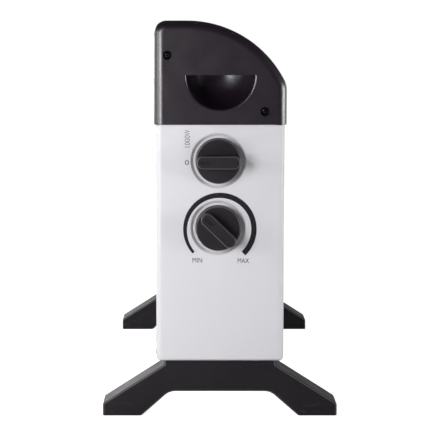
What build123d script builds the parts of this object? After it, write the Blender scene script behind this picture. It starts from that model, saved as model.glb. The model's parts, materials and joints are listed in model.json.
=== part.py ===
from build123d import *
import math
import os

# Convector heater: a folded steel casing between two moulded end caps, on two splayed feet, with a
# rotary power switch and a room thermostat on one end panel.
# Millimetres. X runs along the heater with the controls at -X, -Y is the front, +Z is up and the floor
# is z = 0. Pieces are drawn about the middle of the casing and moved along X as they are written, so
# that the origin lies under the middle of the whole heater, knobs included.

# Casing sizes
casing_length = 400.0
body_depth = 113.5
body_bottom = 50.0
sheet = 1.0
corner_radius = 5.0
bottom_radius = 3.0
bend_radius = 1.2
return_width = 12.0
side_flange = 12.0
panel_drop = 0.5
lip_height = 8.0
lip_step = 2.4
lip_step_drop = 1.8
side_lip_gap = 1.0
side_lip_reach = 4.0
side_lip_rise = 4.0
side_lip_drop = 3.0
apron_rise = 2.0
apron_gap = 1.0
tongue_margin = 6.0
tongue_overrun = 2.0

# End cap sizes
cap_depth = 117.0
cap_length = 48.0
cap_top = 352.4
cap_height = 90.9
cap_wall = 2.2
cap_gap = 0.3
cap_edge_radius = 8.0
cap_rear_radius = 11.4
cap_front_radius = 19.7
cap_front_height = 34.6
crown_start_y = 29.4
cap_rib_height = 4.0
cap_rib_thickness = 1.8
cap_rib_angles = (95, 115, 135)

# Hand scoop sizes, with the flat left below it and up to the crown's rounded edge
scoop_margin = 13.5
scoop_clearance = 11.5
scoop_lip_radius = 1.8

# Cap screws and the ears they hold
rear_screw_inset = 12.1
rear_screw_drop = 30.2
front_screw_inset = 19.4
front_screw_rise = 11.6
well_radius = 4.1
well_depth = 4.0
well_wall = 2.0
ear_width = 12.0
ear_root = 3.0
ear_step = 4.0
ear_gap = 1.0
ear_overrun = 7.0

# Outlet grille sizes
grille_sheet = 1.0
grille_tuck = 7.0
grille_lift = 1.5
louvre_first_angle = 93.5
louvre_row_pitch = 10.2
louvre_row_margin = 4.0
louvre_openings = 5
louvre_margin = 15.0
louvre_bar = 6.0
louvre_gap = 4.6
louvre_blade = 6.2
louvre_tilt = 32.0
blade_thickness = 0.8

# Foot sizes
foot_thickness = 30.0
foot_inset = 1.0
foot_span = 210.0
foot_tip_height = 11.0
foot_pad_length = 35.0
foot_block_width = 99.0
foot_shoulder_drop = 3.5
foot_arch_height = 22.0
foot_arch_angle = 41.5
foot_arch_radius = 14.0
foot_wall = 2.5
foot_corner_radius = 3.0
foot_toe_chamfer = 0.6
foot_edge_radius = 1.6
foot_rib_thickness = 2.0
foot_rib_lift = 2.0
foot_rib_inset = 4.0
foot_screw_y = 33.0
foot_boss_height = 4.5
foot_boss_wall = 2.0

# Control positions, the dishes behind the knobs and the knobs
control_y = 1.8
power_drop = 31.9
knob_pitch = 59.5
dish_radius = 23.5
dish_depth = 2.5
dish_bend = 1.0
dish_slope = 2.3
dish_skirt = 4.0
knob_radius = 20.2
knob_taper = 0.5
knob_disc_height = 6.5
knob_edge_radius = 1.0
knob_proud = 20.0
knob_wall = 2.0
knob_rib_thickness = 1.3
knob_rib_drop = 1.5
knob_floor_gap = 0.8
grip_length = 37.6
grip_width = 11.2
grip_end_radius = 5.2
grip_edge_radius = 1.0
pointer_length = 9.6
pointer_width = 2.6
pointer_depth = 0.8
pointer_margin = 2.6
hub_radius = 6.5
hub_gap = 1.0
shaft_radius = 3.0
shaft_flat = 1.0
shaft_fit = 0.05
shaft_tip_depth = 1.0
shaft_end_gap = 0.5
bush_radius = 4.9
bush_fit = 0.2
bush_proud = 1.5
bush_tail = 3.0
thermostat_turn = 44.0

# Screws
screw_radius = 1.95
screw_fit = 0.15
screw_point = 5.0
head_radius = 3.5
head_height = 2.0
head_dome_radius = 5.6
sunk_head_proud = 0.7
recess_width = 1.0
recess_depth = 1.0
recess_arm = 2.3
panel_screw_inset = 9.3
panel_screw_rise = 6.5
control_screw_reach = 14.0

# Heating chamber sizes
end_space = 60.0
partition_flange = 8.0
partition_drop = 4.0
partition_corner = 4.0
partition_foot_inset = 12.0
element_drop = 28.6
element_gap = 12.0
element_core_radius = 7.0
element_fin_length = 34.0
element_fin_thickness = 1.8
element_fin_angle = 32.0
element_rib_places = (0.4, 0.55, 0.7, 0.85)
rod_radius = 4.0
rod_fit = 0.05
rod_overhang = 20.0
neck_fit = 0.1
bush_flange_radius = 9.0
bush_neck_radius = 6.0
bush_neck_proud = 2.0
bush_flange_thickness = 3.0
stud_radius = 1.6
stud_length = 9.0
shield_y = 45.0
shield_lift = 26.0
shield_drop = 25.5
shield_fold = 8.0
shield_fold_inset = 4.0
swage_radius = 3.0
swage_inset = 40.0
swage_margin = 12.0

# Base plate and air intake sizes
base_margin = 4.0
slot_length = 34.0
slot_width = 5.0
slot_pitch_x = 42.0
slot_pitch_y = 14.0
slots_across = 4

# Switch and thermostat bodies
switch_depth = 20.0
switch_width = 34.0
switch_height = 28.0
switch_corner = 3.0
switch_chamfer = 1.5
switch_shaft_reach = 10.0
tab_width = 6.3
tab_thickness = 0.8
tab_length = 9.0
tab_spread = 9.0
tab_chamfer = 1.2
tab_hole_radius = 0.8
tab_hole_reach = 5.4
frame_sheet = 1.2
frame_width = 36.0
frame_above = 10.0
frame_below = 34.0
frame_corner = 4.0
stack_drop = 24.0
stack_radius = 4.5
stack_rings = 3
stack_pin_radius = 1.5
stack_pin_proud = 2.0
stack_fit = 0.1
ring_height = 5.0
leaf_width = 8.0
leaf_thickness = 0.5
leaf_corner = 2.0
leaf_foot = 1.0
leaf_overrun = 12.0
bimetal_overrun = 20.0
contact_radius = 1.6
contact_rise = 2.0
contact_gap = 0.25
shaft_leaf_gap = 0.3

# Thermal cut-out, terminal block, cord gland and wires
cutout_drop = 61.5
cutout_radius = 8.0
cutout_height = 9.0
cutout_proud = 1.0
cutout_fit = 0.3
cutout_flange_width = 30.0
cutout_flange_height = 10.0
cutout_flange_thickness = 0.8
cutout_flange_corner = 4.0
cutout_hole_spacing = 23.0
cutout_tab_spread = 5.0
cutout_head_radius = 2.8
cutout_head_height = 1.8
block_length = 30.0
block_width = 18.0
block_height = 16.0
block_corner = 2.0
block_inset = 21.0
block_y = 18.0
block_ways = 3
clamp_radius = 2.2
clamp_depth = 5.0
wire_way_radius = 2.0
wire_way_depth = 5.0
wire_start_depth = 3.0
gland_inset = 40.0
gland_rise = 14.0
gland_bore_radius = 3.2
gland_neck_radius = 4.2
gland_collar_radius = 5.2
gland_fit = 0.1
gland_proud = 1.0
gland_reach = 8.0
wire_radius = 1.1
wire_bend = 5.0
wire_hole_radius = 3.0
wire_hole_y = -44.0
wire_hole_rise = 12.0
wire_side_y = 16.0
grommet_lip = 1.5
earth_inset = 27.0
earth_y = -16.0
tag_thickness = 0.8
tag_width = 3.6

# How far a cutting shape runs past a face, how far a rib runs into its wall, and what counts as equal
past = 1.0
weld = 0.5
near = 0.01

# Places that follow from the sizes above
cap_face = -casing_length / 2
cap_open = cap_face + cap_length
cap_half = cap_depth / 2
cap_bottom = cap_top - cap_height
panel_face = cap_face + cap_wall + cap_gap
panel_back = panel_face + sheet
panel_half = body_depth / 2
panel_top = cap_bottom - panel_drop
inner_half = panel_half - sheet
seam = panel_face + side_flange
grille_inset = cap_wall + cap_gap
grille_bottom = cap_bottom + grille_lift
grille_end = cap_open - grille_tuck
louvre_length = (2 * abs(cap_open) - 2 * louvre_margin + louvre_bar) / louvre_openings - louvre_bar
lip_outer = cap_half - grille_inset - grille_sheet
lip_top = cap_bottom + lip_height
crown_run = cap_half + crown_start_y
crown_fall = cap_height - cap_front_height
crown_radius = (crown_run**2 + crown_fall**2) / (2 * crown_fall)
crown_centre_z = cap_top - crown_radius
foot_face = panel_face + foot_inset
foot_centre = foot_face + foot_thickness / 2
foot_inner = foot_face + foot_thickness
foot_shoulder = body_bottom - foot_shoulder_drop
base_floor = body_bottom + sheet
base_top = base_floor + sheet
base_half_length = abs(foot_inner) - base_margin
partition_x = casing_length / 2 - end_space
cutout_z = cap_bottom - cutout_drop
power_z = cap_bottom - power_drop
thermostat_z = power_z - knob_pitch
dish_floor = panel_face + dish_depth
dish_back = dish_floor + sheet
knob_base = dish_floor - knob_floor_gap
knob_face = panel_face - knob_disc_height
knob_tip = panel_face - knob_proud
bush_front = dish_floor - bush_proud
hub_base = bush_front - hub_gap
rear_screw_y = cap_half - rear_screw_inset
rear_screw_z = cap_top - rear_screw_drop
front_screw_y = front_screw_inset - cap_half
front_screw_z = cap_bottom + front_screw_rise
cap_screw_places = ((rear_screw_y, rear_screw_z), (front_screw_y, front_screw_z))
panel_screw_heights = (body_bottom + panel_screw_rise, panel_top - panel_screw_rise)
well_floor = cap_face + well_depth
ear_face = well_floor + well_wall
stack_z = thermostat_z - stack_drop
leaf_end_z = stack_z - stack_radius - leaf_foot
element_z = leaf_end_z - element_drop
gland_x = cap_face + gland_inset
gland_z = body_bottom + gland_rise
wire_hole_z = body_bottom + wire_hole_rise
block_x = cap_face + block_inset
earth_x = cap_face + earth_inset
centre_shift = -(knob_tip - cap_face) / 2

# The scoop's corners keep their clearance to the crown's rounded edge, and its lowest point its margin
scoop_limit = crown_radius - cap_edge_radius - scoop_clearance
scoop_base = cap_bottom + scoop_margin - crown_centre_z
scoop_span = math.sqrt(2 * scoop_limit**2 - (crown_start_y - scoop_base) ** 2)
scoop_radius = (scoop_span - crown_start_y - scoop_base) / 2
scoop_top = cap_bottom + scoop_margin + scoop_radius


def along_x(sketch, start, length):
    """Extrudes a YZ sketch along +X, starting at x = start."""
    return Pos(start, 0, 0) * extrude(Plane.YZ * sketch, amount=length)


def rod_x(radius, start, length, y=0.0, z=0.0):
    """A round bar along +X."""
    return Pos(start, y, z) * extrude(Plane.YZ * Circle(radius), amount=length)


def rod_y(radius, start, length, x=0.0, z=0.0):
    """A round bar along +Y."""
    return Pos(x, start, z) * extrude(Plane.XZ * Circle(radius), amount=-length)


def rod_z(radius, start, length, x=0.0, y=0.0):
    """A round bar along +Z."""
    return Pos(x, y, start) * extrude(Circle(radius), amount=length)


def hole_x(radius, start, length, y=0.0, z=0.0):
    """A round cutting bar along +X that runs past both ends of its hole."""
    return rod_x(radius, start - past, length + 2 * past, y, z)


def hole_y(radius, start, length, x=0.0, z=0.0):
    """A round cutting bar along +Y that runs past both ends of its hole."""
    return rod_y(radius, start - past, length + 2 * past, x, z)


def hole_z(radius, start, length, x=0.0, y=0.0):
    """A round cutting bar along +Z that runs past both ends of its hole."""
    return rod_z(radius, start - past, length + 2 * past, x, y)


def block(x0, x1, y0, y1, z0, z1):
    """A box between two corners."""
    middle = Pos((x0 + x1) / 2, (y0 + y1) / 2, (z0 + z1) / 2)
    return middle * Box(abs(x1 - x0), abs(y1 - y0), abs(z1 - z0))


def far_end(shape):
    """The same piece, handed for the other end of the heater."""
    return mirror(shape, about=Plane.YZ)


def front_side(shape):
    """The same piece, handed for the front."""
    return mirror(shape, about=Plane.XZ)


def on_control_line(shape):
    """Moves a control that is drawn at y = 0 onto the line of the two knobs."""
    return Pos(0, control_y, 0) * shape


def cross_recess(top):
    """The cross recess of a screw whose head ends at z = top, towards -Z."""
    cross = Box(2 * recess_arm, recess_width, 2 * recess_depth) + Box(recess_width, 2 * recess_arm, 2 * recess_depth)
    return Pos(0, 0, top) * cross


def screw_shank(length):
    """A screw's shank along +Z with a chamfered point."""
    shank = rod_z(screw_radius, 0, length)
    return chamfer(shank.edges().sort_by(Axis.Z)[-1], screw_radius / 2)


def pan_head_screw(length):
    """A cross-recessed pan head screw that points along +Z, with the seat of its head at z = 0."""
    dome = Pos(0, 0, head_dome_radius - head_height) * Sphere(head_dome_radius)
    head = rod_z(head_radius, -head_height, head_height) & dome
    return head + screw_shank(length) - cross_recess(-head_height)


def sunk_screw(length):
    """A raised countersunk screw that points along +Z, with the rim of its head at z = 0."""
    dome_radius = (head_radius**2 + sunk_head_proud**2) / (2 * sunk_head_proud)
    dome = Pos(0, 0, dome_radius - sunk_head_proud) * Sphere(dome_radius)
    dome &= rod_z(head_radius + past, -sunk_head_proud, sunk_head_proud)
    seat = head_radius - screw_radius
    cone = Cone(head_radius, screw_radius, seat, align=(Align.CENTER, Align.CENTER, Align.MIN))
    return dome + cone + screw_shank(length) - cross_recess(-sunk_head_proud)


def sunk_seat():
    """The cutting shape of a countersink in a surface at z = 0, running past it towards -Z."""
    wide = head_radius + screw_fit + past
    narrow = screw_radius + screw_fit
    cone = Cone(wide, narrow, wide - narrow, align=(Align.CENTER, Align.CENTER, Align.MIN))
    return Pos(0, 0, -past) * cone


def cap_outline(inset, base):
    """Side outline of the end cap, drawn in by inset from its surface and down to the height base."""
    half = cap_half - inset
    top = cap_top - inset
    crown = crown_radius - inset
    front_z = crown_centre_z + math.sqrt(crown**2 - (half + crown_start_y) ** 2)
    sweep = 90 - math.degrees(math.atan2(front_z - crown_centre_z, half + crown_start_y))
    rear = Line((half, base), (half, top))
    flat = Line((half, top), (crown_start_y, top))
    arc = CenterArc((crown_start_y, crown_centre_z), crown, 90, sweep)
    front = Line((-half, front_z), (-half, base))
    bottom = Line((-half, base), (half, base))
    outline = make_face([rear, flat, arc, front, bottom])
    rear_corner = outline.vertices().sort_by_distance((half, top, 0))[0]
    outline = fillet(rear_corner, cap_rear_radius - inset)
    front_corner = outline.vertices().sort_by_distance((-half, front_z, 0))[0]
    return fillet(front_corner, cap_front_radius - inset)


def cap_block(inset, base, start, end):
    """A solid block of the cap's outline, with its face edge rounded."""
    solid = along_x(cap_outline(inset, base), start, end - start)
    face_edges = solid.faces().sort_by(Axis.X)[0].edges()
    rim = face_edges.filter_by(lambda edge: edge.center().Z > base + near)
    return fillet(rim, cap_edge_radius - inset)


def scoop_ball(radius, ceiling):
    """The part of a ball about the scoop's centre that lies under a ceiling."""
    ball = Pos(cap_face, 0, scoop_top) * Sphere(radius)
    reach = 2 * radius
    return ball & block(cap_face - reach, cap_face + reach, -reach, reach, scoop_top - reach, ceiling)


def cap_ribs():
    """Ribs inside the crown that the end of the grille butts against."""
    outer = crown_radius - cap_wall + weld
    inner = crown_radius - cap_wall - cap_rib_height
    half = cap_rib_thickness / 2
    rib = block(cap_face + cap_wall, grille_end - cap_gap, inner, outer, -half, half)
    ribs = Part()
    for angle in cap_rib_angles:
        ribs += Pos(0, crown_start_y, crown_centre_z) * Rot(angle, 0, 0) * rib
    return ribs


def screw_boss(y, z):
    """The closed sleeve behind a screw well."""
    start = cap_face + cap_wall / 2
    return rod_x(well_radius + well_wall, start, ear_face - start, y, z)


def end_cap():
    """Moulded end cap with a scooped hand hold, two screw wells and inner ribs."""
    cap = cap_block(0, cap_bottom, cap_face, cap_open)
    cap -= cap_block(cap_wall, cap_bottom - cap_wall, cap_face + cap_wall, cap_open + past)
    bowl = scoop_ball(scoop_radius + cap_wall, scoop_top + cap_wall)
    reach = 2 * scoop_radius
    bowl &= block(cap_face + cap_wall / 2, cap_open, -reach, reach, cap_bottom, cap_top)
    cap += bowl
    cap += cap_ribs()
    cap -= scoop_ball(scoop_radius, scoop_top)
    lip = cap.edges().filter_by(lambda edge: abs(edge.center().X - cap_face) < near)
    lip = lip.filter_by(lambda edge: edge.geom_type == GeomType.CIRCLE)
    lip = lip.filter_by(lambda edge: abs(edge.radius - scoop_radius) < near)
    cap = fillet(lip, scoop_lip_radius)
    for y, z in cap_screw_places:
        cap += screw_boss(y, z)
        cap -= rod_x(well_radius, cap_face - past, well_depth + past, y, z)
        cap -= hole_x(screw_radius + screw_fit, well_floor, well_wall, y, z)
    return cap


def cap_screws():
    """The four screws that hold the caps to the ears of the end panels."""
    screw = Rot(0, 90, 0) * pan_head_screw(well_wall + sheet + screw_point)
    screws = Part()
    for y, z in cap_screw_places:
        placed = Pos(well_floor, y, z) * screw
        screws += placed
        screws += far_end(placed)
    return screws


def pan_block(inset, reach, top):
    """A block with the rounded corners of the end panel."""
    half = panel_half - inset
    solid = block(panel_face + inset, panel_face + reach, -half, half, body_bottom + inset, top)
    uprights = solid.edges().filter_by(Axis.Z).group_by(Axis.X)[0]
    solid = fillet(uprights, corner_radius - inset)
    foot_edges = solid.faces().sort_by(Axis.Z)[0].edges()
    foot_edges = foot_edges.filter_by(lambda edge: edge.center().X < panel_face + reach - near)
    return fillet(foot_edges, bottom_radius - inset)


def ear(y, z):
    """A strip that steps inwards from the end panel, behind a screw boss of the cap."""
    middle = panel_face + sheet / 2
    back = ear_face + sheet / 2
    step_z = front_screw_z - well_radius - well_wall - ear_gap
    path = FilletPolyline(
        (middle, panel_top - ear_root),
        (middle, step_z - ear_step),
        (back, step_z),
        (back, z + ear_overrun),
        radius=bend_radius,
    )
    strip = extrude(Plane.XZ * trace(path, line_width=sheet), amount=ear_width / 2, both=True)
    return Pos(0, y, 0) * strip - hole_x(screw_radius, ear_face, sheet, y, z)


def plain_pan():
    """End panel: face, side flanges, bottom flange with a tongue for the foot, and two ears."""
    pan = pan_block(0, side_flange, panel_top)
    pan -= pan_block(sheet, side_flange + past, panel_top + past)
    tongue_half = foot_block_width / 2 - tongue_margin
    pan += block(seam - past, foot_inner + tongue_overrun, -tongue_half, tongue_half, body_bottom, base_floor)
    apron_half = cap_half - cap_edge_radius - apron_gap
    pan += block(panel_face, panel_back, -apron_half, apron_half, panel_top - past, cap_bottom + apron_rise)
    for y, z in cap_screw_places:
        pan += ear(y, z)
    for y in (-foot_screw_y, foot_screw_y):
        pan -= hole_z(screw_radius, body_bottom, sheet, foot_centre, y)
    return pan - panel_screw_seats()


def panel_screw_seats():
    """The countersinks of the screws that hold the rear panel to an end panel."""
    seats = Part()
    for z in panel_screw_heights:
        seats += Pos(panel_face + panel_screw_inset, panel_half, z) * Rot(90, 0, 0) * sunk_seat()
    return seats


def pressed_dish(z):
    """The round recess pressed into the end panel behind a knob, as a turned sheet."""
    middle = panel_face + sheet / 2
    path = FilletPolyline(
        (middle, dish_radius + dish_skirt),
        (middle, dish_radius + dish_slope / 2),
        (middle + dish_depth, dish_radius - dish_slope / 2),
        (middle + dish_depth, bush_radius + bush_fit),
        radius=dish_bend,
    )
    return Pos(0, control_y, z) * revolve(trace(path, line_width=sheet), Axis.X)


def control_end_panel():
    """End panel with the two dishes, the holes of the controls and the hole of the earth screw."""
    pan = plain_pan()
    for z in (power_z, thermostat_z):
        pan -= hole_x(dish_radius + dish_skirt - weld, panel_face, sheet, control_y, z)
        pan += pressed_dish(z)
        for side in (-control_screw_reach, control_screw_reach):
            pan -= hole_x(screw_radius + screw_fit, dish_floor, sheet, control_y + side, z)
    return pan - hole_z(screw_radius, body_bottom, sheet, earth_x, earth_y)


def wall_panel():
    """A long panel, drawn for the rear: bottom return, wall, stepped top lip and side lips."""
    wall = panel_half - sheet / 2
    lip = lip_outer - sheet / 2
    step_z = cap_bottom - lip_step_drop
    path = FilletPolyline(
        (panel_half - return_width, body_bottom + sheet / 2),
        (wall, body_bottom + sheet / 2),
        (wall, step_z),
        (lip, step_z + lip_step),
        (lip, lip_top),
        radius=bend_radius,
    )
    panel = along_x(trace(path, line_width=sheet), seam, -2 * seam)
    side_lip = block(
        panel_face + corner_radius + side_lip_gap,
        seam + side_lip_reach,
        inner_half - sheet,
        inner_half,
        body_bottom + side_lip_rise,
        panel_top - side_lip_drop,
    )
    return panel + side_lip + far_end(side_lip)


def front_panel():
    """The plain long panel of the front."""
    return front_side(wall_panel())


def rear_panel():
    """The long rear panel, with the cord gland's hole and the seats and holes of its own screws."""
    panel = wall_panel()
    panel -= hole_y(gland_neck_radius + gland_fit, inner_half, sheet, gland_x, gland_z)
    seats = panel_screw_seats()
    for z in panel_screw_heights:
        seats += hole_y(screw_radius, inner_half - sheet, sheet, panel_face + panel_screw_inset, z)
    return panel - seats - far_end(seats)


def panel_screws():
    """The four screws of the rear panel."""
    screw = Rot(90, 0, 0) * sunk_screw(2 * sheet + screw_point)
    screws = Part()
    for z in panel_screw_heights:
        placed = Pos(panel_face + panel_screw_inset, panel_half, z) * screw
        screws += placed
        screws += far_end(placed)
    return screws


def base_plate():
    """Bottom plate with rows of slots where cool air is drawn in."""
    half_width = panel_half - bottom_radius - sheet
    plate = block(-base_half_length, base_half_length, -half_width, half_width, base_floor, base_top)
    slots_along = int(2 * base_half_length / slot_pitch_x) - 1
    slot = extrude(SlotOverall(slot_length, slot_width), amount=sheet + 2 * past)
    for place in GridLocations(slot_pitch_x, slot_pitch_y, slots_along, slots_across):
        plate -= Pos(0, 0, base_floor - past) * place * slot
    return plate


def grille_skin():
    """The grille's bent sheet, from the rear lip over the crown to the front lip."""
    outer = along_x(cap_outline(grille_inset, grille_bottom), grille_end, -2 * grille_end)
    inner = along_x(
        cap_outline(grille_inset + grille_sheet, grille_bottom - past), grille_end - past, 2 * past - 2 * grille_end
    )
    return outer - inner


def louvre_places():
    """Middle places of the louvre openings along X."""
    pitch = louvre_length + louvre_bar
    return [(index - (louvre_openings - 1) / 2) * pitch for index in range(louvre_openings)]


def louvre_angles(radius):
    """Angles of the louvre rows round the crown, down to a margin above its rounded front corner."""
    corner_run = crown_run - cap_front_radius
    corner_angle = math.degrees(math.acos(corner_run / (crown_radius - cap_front_radius)))
    last_angle = corner_angle + math.degrees(louvre_row_margin / radius)
    step = math.degrees(louvre_row_pitch / radius)
    rows = 1 + int((louvre_first_angle - last_angle) / step)
    return [louvre_first_angle - row * step for row in range(rows)]


def outlet_grille():
    """Curved outlet grille: rows of openings along the crown, each under a lanced blade."""
    skin = grille_skin()
    radius = crown_radius - grille_inset
    cuts = []
    blades = []
    for angle in louvre_angles(radius):
        turn = Pos(0, crown_start_y, crown_centre_z) * Rot(90 - angle, 0, 0)
        for x in louvre_places():
            place = turn * Pos(x, 0, radius)
            cuts.append(place * Box(louvre_length, louvre_gap, 4 * grille_sheet))
            hinge = place * Pos(0, louvre_gap / 2, -grille_sheet / 2) * Rot(louvre_tilt, 0, 0)
            blade = Box(louvre_length, louvre_blade, blade_thickness, align=(Align.CENTER, Align.MAX, Align.CENTER))
            blades.append(hinge * Pos(0, blade_thickness / 2, 0) * blade)
    return skin - cuts + blades


def both_sides(right):
    """Closes a right half outline with its mirror image on the left."""
    left = [(-y, z) for y, z in reversed(right)]
    return make_face(Polyline(*right, *left, close=True))


def foot_outline():
    """Front outline of a foot: splayed legs, a raised block under the casing and an arch between."""
    tip = foot_span / 2
    pad = tip - foot_pad_length
    block_half = foot_block_width / 2
    arch = pad - foot_arch_height / math.tan(math.radians(foot_arch_angle))
    outline = both_sides(
        [
            (arch, foot_arch_height),
            (pad, 0),
            (tip, 0),
            (tip, foot_tip_height),
            (block_half, foot_shoulder),
            (block_half, body_bottom),
        ]
    )
    arch_corners = outline.vertices().filter_by(lambda v: abs(abs(v.X) - arch) < near)
    hollows = arch_corners.filter_by(lambda v: abs(v.Y - foot_arch_height) < near)
    outline = fillet(hollows, foot_arch_radius)
    corners = outline.vertices().filter_by(lambda v: abs(abs(v.X) - tip) < near)
    outline = fillet(corners.filter_by(lambda v: v.Y > foot_tip_height / 2), foot_corner_radius)
    toes = outline.vertices().filter_by(lambda v: abs(abs(v.X) - tip) < near and v.Y < near)
    return chamfer(toes, foot_toe_chamfer)


def foot_hollow():
    """Front outline of the space inside a foot, open downwards."""
    tip = foot_span / 2 - foot_wall
    block_half = foot_block_width / 2
    fall = (foot_shoulder - foot_tip_height) / (foot_span / 2 - block_half)
    drop = foot_wall * math.sqrt(1 + fall**2)
    tip_z = foot_tip_height + fall * foot_wall - drop
    shoulder_y = block_half - foot_wall
    shoulder_z = foot_shoulder + fall * foot_wall - drop
    return both_sides([(tip, -past), (tip, tip_z), (shoulder_y, shoulder_z), (shoulder_y, body_bottom - foot_wall)])


def foot_ribs(body):
    """Cross ribs inside a foot, standing a little clear of the floor."""
    ribs = Part()
    tip = foot_span / 2
    spaces = (0.0, foot_block_width / 2 - foot_rib_inset, tip - foot_pad_length, tip - foot_pad_length / 2)
    reach = foot_thickness / 2 - foot_wall / 2
    half = foot_rib_thickness / 2
    for y in spaces:
        for middle in (-y, y):
            ribs += block(-reach, reach, middle - half, middle + half, foot_rib_lift, body_bottom - foot_wall / 2)
    return ribs & body


def foot():
    """Moulded foot: a hollow splayed shell with cross ribs and two screw bosses."""
    body = along_x(foot_outline(), -foot_thickness / 2, foot_thickness)
    rims = body.edges().filter_by(lambda edge: abs(abs(edge.center().X) - foot_thickness / 2) < near)
    rims = rims.filter_by(lambda edge: edge.center().Z > foot_tip_height - foot_corner_radius)
    rims = rims.filter_by(lambda edge: edge.center().Z < body_bottom - near)
    outer = rims.filter_by(lambda edge: abs(edge.center().Y) > foot_block_width / 2 - near)
    rounded = fillet(outer, foot_edge_radius)
    hollow = along_x(foot_hollow(), foot_wall - foot_thickness / 2, foot_thickness - 2 * foot_wall)
    shell = rounded - hollow + foot_ribs(rounded)
    boss_bottom = body_bottom - foot_boss_height
    for y in (-foot_screw_y, foot_screw_y):
        shell += rod_z(head_radius + foot_boss_wall, boss_bottom, foot_boss_height, 0, y)
        shell -= hole_z(screw_radius + screw_fit, boss_bottom, foot_boss_height, 0, y)
    return Pos(foot_centre, 0, 0) * shell


def foot_screws():
    """The four screws that hold the feet to the tongues of the end panels."""
    screw = pan_head_screw(foot_boss_height + sheet + screw_point)
    screws = Part()
    for y in (-foot_screw_y, foot_screw_y):
        placed = Pos(foot_centre, y, body_bottom - foot_boss_height) * screw
        screws += placed
        screws += far_end(placed)
    return screws


def partition():
    """Upright plate between the heating chamber and an end space, with folded edges."""
    top = cap_bottom - partition_drop
    corner_z = base_top + partition_corner
    outline = both_sides([(inner_half - partition_corner, base_top), (inner_half, corner_z), (inner_half, top)])
    plate = along_x(outline, -partition_x, sheet)
    back = -partition_x - partition_flange
    front = -partition_x + sheet
    fold = block(back, front, inner_half - sheet, inner_half, corner_z, top)
    foot_half = inner_half - partition_foot_inset
    foot_fold = block(back, front, -foot_half, foot_half, base_top, base_top + sheet)
    plate += fold + front_side(fold) + foot_fold
    plate -= hole_x(bush_neck_radius + neck_fit, -partition_x, sheet, 0, element_z)
    plate -= hole_x(wire_hole_radius + grommet_lip, -partition_x, sheet, wire_hole_y, wire_hole_z)
    return plate


def wire_grommet():
    """Rubber ring that guards the wire's hole in a partition."""
    groove_radius = wire_hole_radius + grommet_lip
    outer_radius = groove_radius + grommet_lip
    back = -partition_x - grommet_lip
    length = sheet + 2 * grommet_lip
    ring = rod_x(outer_radius, back, length, wire_hole_y, wire_hole_z)
    groove = rod_x(outer_radius + past, -partition_x, sheet, wire_hole_y, wire_hole_z)
    groove -= hole_x(groove_radius, -partition_x, sheet, wire_hole_y, wire_hole_z)
    return ring - groove - hole_x(wire_hole_radius, back, length, wire_hole_y, wire_hole_z)


def control_partition():
    """The partition of the control end, with the seat and screw holes of the thermal cut-out."""
    plate = partition()
    plate -= hole_x(cutout_radius + cutout_fit, -partition_x, sheet, 0, cutout_z)
    for y in (-cutout_hole_spacing / 2, cutout_hole_spacing / 2):
        plate -= hole_x(stud_radius, -partition_x, sheet, y, cutout_z)
    return plate


def heating_element():
    """Extruded aluminium element: a round core with four ribbed fins in a cross."""
    fin = Pos(element_fin_length / 2, 0) * Rectangle(element_fin_length, element_fin_thickness)
    bead = Pos(element_fin_length, 0) * Circle(element_fin_thickness)
    rib = Rectangle(element_fin_thickness / 2, 3 * element_fin_thickness)
    blade = fin + bead
    for share in element_rib_places:
        blade += Pos(share * element_fin_length, 0) * rib
    section = Circle(element_core_radius)
    for upright in (90, 270):
        for lean in (-element_fin_angle, element_fin_angle):
            section += Rot(0, 0, upright + lean) * blade
    section -= Circle(rod_radius + rod_fit)
    half = partition_x - element_gap
    return Pos(0, 0, element_z) * along_x(section, -half, 2 * half)


def element_rod():
    """The sheathed heating rod, which runs through the element and both partitions."""
    half = partition_x + rod_overhang
    return rod_x(rod_radius, -half, 2 * half, 0, element_z)


def element_bush():
    """Insulating bush that carries the rod in a partition."""
    back = -partition_x - bush_flange_thickness
    length = bush_flange_thickness + sheet + bush_neck_proud
    bush = rod_x(bush_flange_radius, back, bush_flange_thickness, 0, element_z)
    bush += rod_x(bush_neck_radius, back, length, 0, element_z)
    return bush - hole_x(rod_radius + rod_fit, back, length, 0, element_z)


def element_terminal():
    """The stud at the end of the rod, where a wire is fixed."""
    end = -partition_x - rod_overhang
    return rod_x(stud_radius, end - stud_length, stud_length, 0, element_z)


def heat_shield():
    """Bright plate between the element and the rear panel, with folded ends on the partitions."""
    reach = partition_x - sheet
    bottom = base_top + shield_lift
    top = cap_bottom - shield_drop
    back = shield_y + sheet
    shield = block(-reach, reach, shield_y, back, bottom, top)
    fold = block(
        -reach, -reach + sheet, shield_y - shield_fold, back, bottom + shield_fold_inset, top - shield_fold_inset
    )
    shield += fold + far_end(fold)
    swage_half = reach - swage_margin
    for z in (bottom + swage_inset, top - swage_inset):
        ridge = along_x(Pos(shield_y, z) * Circle(swage_radius), -swage_half, 2 * swage_half)
        hollow = along_x(Pos(shield_y, z) * Circle(swage_radius - sheet), -swage_half - past, 2 * (swage_half + past))
        low = z - swage_radius - past
        high = z + swage_radius + past
        shield += ridge & block(-reach, reach, shield_y - swage_radius - past, back, low, high)
        shield -= hollow & block(-reach, reach, shield_y, back + past, low, high)
    return shield


def control_bush(z, back):
    """Neck that carries a control shaft through the end panel."""
    return rod_x(bush_radius, bush_front, back - bush_front, 0, z)


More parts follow.
